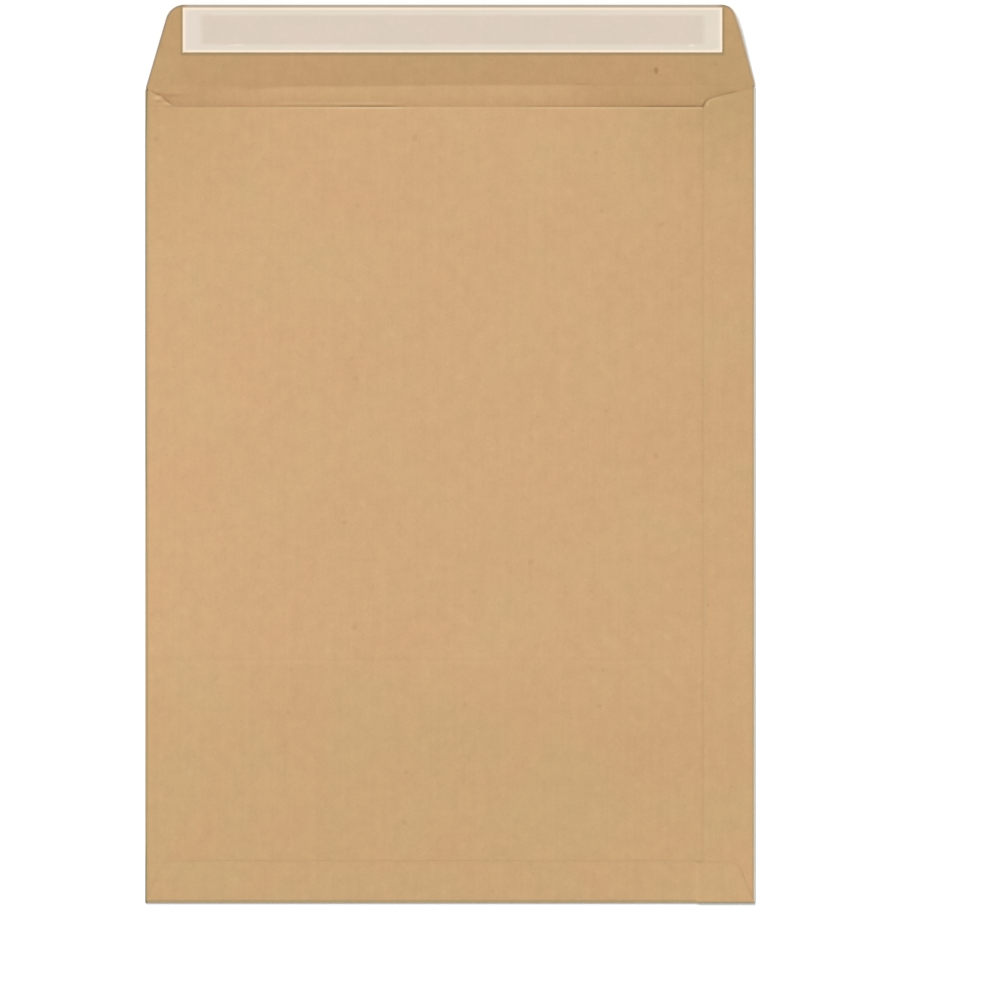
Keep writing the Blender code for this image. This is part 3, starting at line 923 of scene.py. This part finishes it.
# The seal: a strip of adhesive on the flap, and the wider siliconised strip that covers it
seal = {
    "linerWidth": 0.0225,
    "linerMarginLeft": 0.0183,
    "linerMarginRight": 0.0158,
    "linerMarginTip": 0.00135,
    "linerThickness": 0.00008,
    "linerCutReach": 0.0016,
    "adhesiveEnd": 0.0092,
    "adhesiveSide": 0.0037,
    "adhesiveWidth": 0.0145,
    "adhesiveThickness": 0.00006,
    "clearance": 0.0001,
    "edgeCurl": 0.0001,  # how far the loose rim of the strip lifts
    "curlReach": 0.0018,
    "curlUneven": 0.25,
    "curlWave": 61,  # radians a metre
    "curlPhase": 0.8,
    "adhesiveShows": 0.00004,  # how far the adhesive stands out under the strip
    "adhesiveSoft": 0.0012,
}
linerLeft, linerRight = leftBend + seal["linerMarginLeft"], rightBend - seal["linerMarginRight"]
linerTop = flapTip - seal["linerMarginTip"]
linerLow = linerTop - seal["linerWidth"]
stickyLeft, stickyRight = linerLeft + seal["adhesiveEnd"], linerRight - seal["adhesiveEnd"]
stickyTop = linerTop - seal["adhesiveSide"]
stickyLow = stickyTop - seal["adhesiveWidth"]


def linerPaper(name, look):
    # Glassine-like release paper with a silicone coat: smooth, creamy and slightly see-through,
    # so the adhesive below shows as a darker band with a soft outline.
    made, tree, shader = newMaterial(name)
    add = partial(addNode, tree)
    soft = {"interpolation_type": "SMOOTHSTEP"}
    place = add("UVMap", uv_map="flatSheet")

    def mottle(size, detail, stretch=(1, 1, 1)):  # how the coat varies over this many millimetres
        spread = add("Mapping", {"Vector": place, "Scale": stretch})
        inputs = {"Vector": spread, "Scale": perMetre(size), "Detail": detail}
        return add("TexNoise", inputs, noise_dimensions="2D")

    def between(value, low, high, blur):
        rise = add("MapRange", (value, low - blur, low + blur), **soft)
        fall = add("MapRange", (value, high - blur, high + blur, 1.0, 0.0), **soft)
        return add("Math", (rise, fall), operation="MULTIPLY")

    across, along, _ = add("SeparateXYZ", (place,), None).outputs
    wander = add("MapRange", (mottle(9, 3), 0, 1, -look["wander"], look["wander"]))
    wavyU, wavyV = (add("Math", (axis, wander), operation="ADD") for axis in (across, along))
    ends = between(wavyU, stickyLeft, stickyRight, look["endBlur"])
    sides = between(wavyV, stickyLow, stickyTop, look["sideBlur"])
    stuck = add("Math", (ends, sides), operation="MULTIPLY")
    cloud = add("MapRange", (mottle(26, 3, (1, 2, 1)), 0.35, 0.65), **soft)
    fadeFrom, fadeTo = (linerLeft + run for run in look["leftFade"])
    leftEnd = add("MapRange", (across, fadeFrom, fadeTo, 1.0, 0.0), **soft)
    wet = add("MapRange", (mottle(3.5, 4), 0.56, 0.68, 0, 0.16), **soft)  # where it has not taken
    edge = add("Attribute", out="Fac", attribute_name="cutEdge")

    rim = [(cloud, look["rimOther"], "MIX"), (leftEnd, look["leftRim"], "MIX")]
    rim = layered(add, linearColour(look["rim"]), rim)
    band = layered(add, linearColour(look["stuck"]), [(cloud, look["stuckOther"], "MIX")])
    layers = [
        (stuck, band, "MIX"),
        (add("Math", (wet, stuck), operation="MULTIPLY"), look["rim"], "MIX"),
    ]
    # painted glints on small blisters
    for spotU, spotV, halfU, halfV, shine in look["blisterGlints"]:
        squares = []
        for axis, centre, half in ((across, spotU, halfU), (along, spotV, halfV)):
            far = add("Math", (axis, centre), operation="SUBTRACT")
            far = add("Math", (far, half), operation="DIVIDE")
            squares.append(add("Math", (far, 2.0), operation="POWER"))
        far = add("Math", squares, operation="ADD")
        layers.append((add("MapRange", (far, 0.0, 1.0, shine, 0.0), **soft), look["edge"], "MIX"))
    layers.append((add("MapRange", (edge, 0.12, 0.42), **soft), look["edge"], "MIX"))
    layers.append((add("MapRange", (edge, 0.66, 0.95), **soft), look["lip"], "MIX"))
    height = add("Math", (mottle(7, 2), 2.0, mottle(0.9, 4)), operation="MULTIPLY_ADD")
    bumped = add("Bump", {"Strength": 0.25, "Distance": 0.00005, "Height": height})
    rough = add("MapRange", (mottle(6, 3), 0.3, 0.7, 0.36, 0.48), **soft)
    tree.links.new(layered(add, rim, layers), shader.inputs["Base Color"])
    tree.links.new(rough, shader.inputs["Roughness"])
    tree.links.new(bumped, shader.inputs["Normal"])
    shader.inputs["IOR"].default_value = 1.46
    shader.inputs["Specular IOR Level"].default_value = 0.35
    return made


def driedFilm(name, look):
    # Gums and pressure-sensitive adhesive: a thin cast film with tiny ripples and trapped air
    made, tree, shader = newMaterial(name)
    add = partial(addNode, tree)
    place = add("UVMap", uv_map="flatSheet")
    inputs = {"Vector": place, "Scale": perMetre(look["ripple"]), "Detail": 4}
    ripple = add("TexNoise", inputs, noise_dimensions="2D")
    air = add("TexVoronoi", {"Vector": place, "Scale": perMetre(look["bubble"])})
    layers = [(add("MapRange", (air, 0.08, 0.2)), look["colour"], "MIX")]
    bumped = add("Bump", {"Strength": 0.5, "Distance": 0.00005, "Height": ripple})
    film = layered(add, linearColour(look["bubbleColour"]), layers)
    tree.links.new(film, shader.inputs["Base Color"])
    tree.links.new(bumped, shader.inputs["Normal"])
    shader.inputs["Roughness"].default_value = look["roughness"]
    shader.inputs["IOR"].default_value = look["ior"]
    return made


# The outer face is the smoother, paler one; the inner face is rougher and a little browner.
# Sizes of the patterns in the pulp are in millimetres.
outerLook = {
    "base": "cfa87b",
    "pink": "d0a679",
    "olive": "cda97a",
    "paleFibre": "dfc199",
    "darkFibre": "ad875a",
    "shive": "7d5736",
    "bark": "8a5a38",
    "wear": "958f77",
    "fold": "73694f",
    # painted shade of the fine dark lines and of the throat's line
    "lineShade": "8a6539",
    # painted highlights of the fine pale lines and of the throat's turned edge
    "raised": "ecd0a8",
    "rubbed": "e6dccb",
    "cloud": 48,
    "floc": 7,
    "streak": 2.4,
    "wornPatch": 5,
    "toothSize": 1.3,
    # cell size, radius, share of cells, raggedness in metres, softness and how much shows
    "bits": (17, 1.9, 0.4, 0.0034, 1.2, 0.13),
    "dots": (11, 0.35, 0.2, 0.0007, 0.12, 0.22),
    "shives": (31, 1.5, 0.3, 0.0028, 0.7, 0.12),
    "fibre": 0.3,
    "cutWear": 0.06,
    "foldWearAndShade": 0.9,
    "toneShift": (0.885, 0.917, 0.84, 1),
    "warm": (1.0, 0.953, 0.962, 1),
    "tooth": 0.35,
    "roughness": 0.74,
    "shine": 0.3,
    "shift": (0.0, 0.0, 0.0),
}
innerLook = dict(
    outerLook,
    base="cfaa7d",
    pink="d0a87b",
    olive="ccaa79",
    paleFibre="dcbf95",
    wear="aa9a85",
    cutWear=1.0,
    foldWearAndShade=0.75,
    toneShift=(0.955, 1.0, 0.965, 1),
    flapTint=(0.905, 0.868, 0.84, 1),
    tip="bab2a8",
    # the painted shadow round the release strip
    stripShadow="848568",
    tooth=0.5,
    roughness=0.84,
    shine=0.22,
    shift=(0.731, 0.417, 0.0),  # so that the outer face's pattern doesn't show again
    # the painted shadow round the release strip: left, right, low, high, how far outside it the line runs,
    # its half width, and how much shows
    stripShadowBoxes=((linerLeft, linerRight, linerLow - 0.0004, linerTop + 0.01, 0.0006, 0.0009, 0.4),),
    stains=((0.1026, 0.2117, 0.0012, 0.0019),),  # u, v and the half sizes
)
rimLook = dict(
    outerLook,
    base="a98a60",
    pink="ab865d",
    olive="a58c60",
    cutWear=0.0,
    foldWearAndShade=0.0,
    toneShift=(1, 1, 1, 1),
)

manilaOuter = manilaPaper("machineGlazedManila", outerLook)
manilaInner = manilaPaper("uncoatedManila", innerLook)
manilaRim = manilaPaper("cutManilaEdge", rimLook)

envelope = sheetMesh("envelopeSheet", paperGrids(), paper, 0, [manilaInner, manilaOuter, manilaRim])
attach(envelope, "root")
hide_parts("envelope")
print("sheet folded:", len(envelope.data.polygons), "faces")


def strip(left, right, low, high, marksU=(), marksV=()):  # with finer cells at its edges and marks
    edge, marked = cells["stripEdge"], cells["marked"]

    def across(first, last, size, places):
        ends = [(first, first + edge, edge / 3), (last - edge, last, edge / 3)]
        band = [(place - edge, place + edge, marked) for place in places]
        return merged(spaced(*ends, (first + edge, last - edge, size), *band), cells["stripHair"])

    columns = across(left, right, cells["plain"], marksU)
    rows = across(low, high, cells["stripRow"], marksV)
    return rowGrid(rows, columns, [(left, low), (left, high)], [(right, low), (right, high)])


glue = {
    "thickness": 0.00005,
    "sideStart": 0.003,  # in from the side flap's edge, the throat and the foot
    "sideEnd": 0.019,
    "footStart": 0.003,  # in from the bottom flap's edge
    "footEnd": 0.017,
    "footMargin": 0.012,
    "colour": "e0d2b4",
    "bubbleColour": "ece2cc",
    "ripple": 1.6,  # millimetres, as the bubbles are
    "bubble": 2.2,
    "roughness": 0.45,
    "ior": 1.48,
}
onPaper = paper / 2 + seal["clearance"]
glueMiddle = onPaper + glue["thickness"] / 2
driedGlue = driedFilm("driedDextrinGum", glue)
sideNear, sideFar = sideEdge + glue["sideStart"], sideEdge + glue["sideEnd"]
sideLow, sideHigh = panelFoot + glue["sideStart"], throat - glue["sideStart"]
sideStrip = strip(sideU(sideFar), sideU(sideNear), sideLow, sideHigh)
sideSeam = sheetMesh("sideSeamGum", [sideStrip], glue["thickness"], glueMiddle, [driedGlue] * 3)
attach(sideSeam, "root")
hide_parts("side_seam_glue")

footNear, footFar = bottomEdge - glue["footStart"], bottomEdge - glue["footEnd"]
footLeft, footRight = leftBend + glue["footMargin"], rightBend - glue["footMargin"]
stepUp = [sideEdge - run for run in (0.004, 0.003, 0.002, 0.001)]  # where it climbs the side flap
footStrip = strip(footLeft, footRight, bottomV(footNear), bottomV(footFar), marksU=stepUp)
footSeam = sheetMesh("bottomFlapGum", [footStrip], glue["thickness"], glueMiddle, [driedGlue] * 3)
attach(footSeam, "root")
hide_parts("bottom_flap_glue")

adhesiveLook = {
    "colour": "dccfba",
    "bubbleColour": "e9dfcf",
    "ripple": 2.5,
    "bubble": 3.0,
    "roughness": 0.3,
    "ior": 1.47,
}
adhesiveFilm = driedFilm("pressureSensitiveAdhesive", adhesiveLook)
stickyStrip = strip(stickyLeft, stickyRight, stickyLow, stickyTop)
stickyMiddle = onPaper + seal["adhesiveThickness"] / 2
adhesive = sheetMesh(
    "sealAdhesive", [stickyStrip], seal["adhesiveThickness"], stickyMiddle, [adhesiveFilm] * 3
)
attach(adhesive, "root")
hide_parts("seal_adhesive")


def linerRelief(u, v):
    # The strip lifts along its loose rim, but for the side towards the crease, and stands out
    # over the adhesive
    rimGap = np.minimum(np.minimum(u - linerLeft, linerRight - u), linerTop - v)
    curl = seal["edgeCurl"] * np.clip(1 - rimGap / seal["curlReach"], 0, 1) ** 2
    uneven = 1 - seal["curlUneven"] + seal["curlUneven"] * np.sin(u * seal["curlWave"] + seal["curlPhase"])
    soft = seal["adhesiveSoft"]
    over = softStep(u, stickyLeft, soft) * softStep(u, stickyRight, -soft)
    over = over * softStep(v, stickyLow, soft) * softStep(v, stickyTop, -soft)
    return curl * uneven + seal["adhesiveShows"] * over


linerLook = {
    "rim": "e7dbcd",
    "rimOther": "e5dbc9",
    "leftRim": "e8dbd0",
    "leftFade": (0.005, 0.013),  # from the left end, where its own tone fades out
    "stuck": "e0cfc0",
    "stuckOther": "ddcfbe",
    # the bright rim, and the painted glints on the blisters
    "edge": "ffeed8",
    "lip": "f8dfc2",
    "wander": 0.00055,  # how far the adhesive's outline strays, and how soft its ends and sides are
    "endBlur": 0.0019,
    "sideBlur": 0.0009,
    # painted glints on small blisters where the adhesive ends: u, v, half sizes and shine
    "blisterGlints": ((-0.1065, 0.2243, 0.006, 0.0008, 0.3), (0.1205, 0.2242, 0.0022, 0.0008, 0.6)),
}
releasePaper = linerPaper("siliconisedReleasePaper", linerLook)
linerStrip = strip(
    linerLeft, linerRight, linerLow, linerTop,
    marksU=(stickyLeft, stickyRight), marksV=(stickyLow, stickyTop),
)
linerMiddle = onPaper + seal["adhesiveThickness"] + seal["clearance"] + seal["linerThickness"] / 2
liner = sheetMesh(
    "releaseStrip", [linerStrip], seal["linerThickness"], linerMiddle, [releasePaper] * 3,
    relief=linerRelief, cutReach=seal["linerCutReach"],
)
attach(liner, "root")
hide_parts("release_liner")
print("seal and seams laid")

# The table: a pale sweep that stays white where no shadow falls
stageLook = {
    "floorSize": 10.0,
    "floorDrop": 0.00002,
    "floorColour": "f4f4f3",
    "floorRoughness": 0.9,
    "floorLift": 0.16,  # added for the camera, so that the open floor reads white
    "ambient": 0.42,
    "keyStrength": 2.55,
    "keySize": math.radians(24),
    "keyElevation": math.radians(46),
    "keyAzimuth": math.radians(-30),  # from straight behind the flap towards the left
}


def seenDirectly(tree):
    path = addNode(tree, "LightPath", out=None).outputs
    rays = path["Is Camera Ray"]
    for other in ("Is Glossy Ray", "Is Transmission Ray"):
        rays = addNode(tree, "Math", (rays, path[other]), operation="MAXIMUM")
    return rays


far = stageLook["floorSize"] / 2
floorMesh = bpy.data.meshes.new("tableTop")
floorMesh.from_pydata([(-far, -far, 0), (far, -far, 0), (far, far, 0), (-far, far, 0)], [], [(0, 1, 2, 3)])
floor = bpy.data.objects.new("tableTop", floorMesh)
floor.location.z = -stageLook["floorDrop"]
bpy.context.collection.objects.link(floor)
floorFinish, floorTree, floorShader = newMaterial("mattWhiteSweep")
floorShader.inputs["Base Color"].default_value = linearColour(stageLook["floorColour"])
floorShader.inputs["Roughness"].default_value = stageLook["floorRoughness"]
floorShader.inputs["Specular IOR Level"].default_value = 0.0
floorShader.inputs["Emission Color"].default_value = (1, 1, 1, 1)
lift = (seenDirectly(floorTree), stageLook["floorLift"])
lift = addNode(floorTree, "Math", lift, operation="MULTIPLY")
floorTree.links.new(lift, floorShader.inputs["Emission Strength"])
floorMesh.materials.append(floorFinish)

world = bpy.data.worlds.new("paleStudio")
bpy.context.scene.world = world
world.use_nodes = True
worldTree = world.node_tree
background = worldTree.nodes["Background"]
background.inputs["Color"].default_value = (1, 1, 1, 1)
level = (seenDirectly(worldTree), 0.0, 1.0, stageLook["ambient"], 1.0)
worldTree.links.new(addNode(worldTree, "MapRange", level), background.inputs["Strength"])

keyData = bpy.data.lights.new("softKey", "SUN")
keyData.energy = stageLook["keyStrength"]
keyData.angle = stageLook["keySize"]
key = bpy.data.objects.new("softKey", keyData)
rise, swing = stageLook["keyElevation"], stageLook["keyAzimuth"]
towardsKey = Vector((math.sin(swing) * math.cos(rise), math.cos(swing) * math.cos(rise), math.sin(rise)))
key.rotation_mode = "QUATERNION"
key.rotation_quaternion = towardsKey.to_track_quat("Z", "Y")
bpy.context.collection.objects.link(key)

# Straight down, with the framing of the photograph: half a millimetre to a pixel
cameraLook = {
    "frame": 0.49845,  # across the picture, at the table
    "centre": (0.0248, -0.0024),
    "height": 8.0,
    "sensor": 36.0,  # millimetres
}
cameraData = bpy.data.cameras.new("overhead")
cameraData.sensor_width = cameraLook["sensor"]
cameraData.lens = cameraLook["sensor"] * cameraLook["height"] / cameraLook["frame"]
camera = bpy.data.objects.new("overhead", cameraData)
camera.location = (*cameraLook["centre"], cameraLook["height"])
bpy.context.collection.objects.link(camera)
bpy.context.scene.camera = camera
bpy.context.scene.view_settings.view_transform = "Standard"
print("stage lit")
